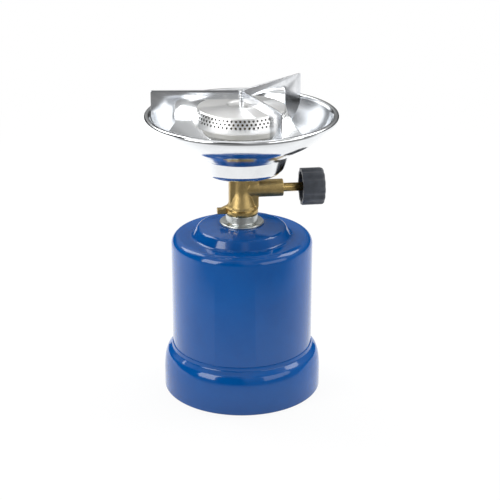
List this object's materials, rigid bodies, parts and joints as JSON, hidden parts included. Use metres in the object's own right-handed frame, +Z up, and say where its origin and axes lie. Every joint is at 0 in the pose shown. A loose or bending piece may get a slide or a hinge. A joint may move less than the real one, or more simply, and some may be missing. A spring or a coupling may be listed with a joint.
{
  "type": "camping gas stove",
  "caption": "Camping gas stove: burner with folding pan supports in a round wind dish, on a brass valve with a side knob, over a painted casing and base cup that hold a gas cartridge.",
  "frame": {"origin": "on the ground, at the stove's axis, under the middle of the base cup", "axes": "+Z up along the stove's axis, +X along the valve's side arm towards the knob, +Y away from the picture's camera"},
  "size_m": [0.1252, 0.1252, 0.205],
  "materials": {
    "blue_paint": "gloss enamel, faint orange peel",
    "zinc_plate": "turned and zinc plated",
    "tinplate": "bright tinplate",
    "brass": "hot forged, turned on its faces",
    "stem_brass": "turned and milled",
    "needle_steel": "ground",
    "seal_rubber": "moulded",
    "knob_plastic": "moulded, fine grain",
    "dish_chrome": "bright chrome on spun sheet",
    "soft_washer": "plain",
    "head_steel": "pressed stainless sheet",
    "support_steel": "bright plated sheet"
  },
  "bodies": {
    "base": {"base_cup": "blue_paint", "bayonet_ring": "zinc_plate", "gas_cartridge": "tinplate"},
    "casing": {"casing_shell": "blue_paint", "neck_bush": "zinc_plate", "neck_nut": "zinc_plate"},
    "seal": {"cartridge_seal": "seal_rubber"},
    "valve": {"valve_body": "brass", "piercing_needle": "needle_steel", "stem_gland": "brass", "jet": "stem_brass", "jet_filter": "stem_brass", "dish_washer": "soft_washer", "dish": "dish_chrome", "burner_tube": "brass", "burner_bowl": "head_steel", "burner_cap": "head_steel", "centre_pin": "support_steel", "fin_washer": "support_steel"},
    "stem_seal": {"stem_oring": "seal_rubber"},
    "stem": {"valve_stem": "stem_brass", "knob": "knob_plastic"},
    "support_left": {"fin_left": "support_steel"},
    "support_front": {"fin_front": "support_steel"},
    "support_back": {"fin_back": "support_steel"}
  },
  "joints": [
    {"name": "casing_twist", "type": "hinge", "parent": "base", "child": "casing", "pos_m": [0, 0, 0.1], "axis": [0, 0, 1], "range_deg": [0, 24]},
    {"name": "valve_lift", "type": "slide", "parent": "casing", "child": "seal", "axis": [0, 0, 1], "range_m": [0, 0.00901]},
    {"name": "valve_screw", "type": "hinge", "parent": "seal", "child": "valve", "pos_m": [0, 0, 0.1], "axis": [0, 0, 1], "range_deg": [0, 2160]},
    {"name": "stem_travel", "type": "slide", "parent": "valve", "child": "stem_seal", "axis": [1, 0, 0], "range_m": [0, 0.00151]},
    {"name": "knob_turn", "type": "hinge", "parent": "stem_seal", "child": "stem", "pos_m": [0.03, 0, 0.1387], "axis": [1, 0, 0], "range_deg": [0, 540]},
    {"name": "support_turn", "type": "hinge", "parent": "valve", "child": "support_left", "pos_m": [0, 0, 0.1], "axis": [0, 0, 1], "continuous": true},
    {"name": "fin_front_fold", "type": "hinge", "parent": "support_left", "child": "support_front", "pos_m": [0, 0, 0.1], "axis": [0, 0, 1], "range_deg": [-85, 24]},
    {"name": "fin_back_fold", "type": "hinge", "parent": "support_left", "child": "support_back", "pos_m": [0, 0, 0.1], "axis": [0, 0, 1], "range_deg": [-24, 104]}
  ],
  "couplings": [
    {"joint": "valve_lift", "follows": "valve_screw", "m_per_rad": 0.00023873},
    {"joint": "stem_travel", "follows": "knob_turn", "m_per_rad": 0.00015915}
  ]
}
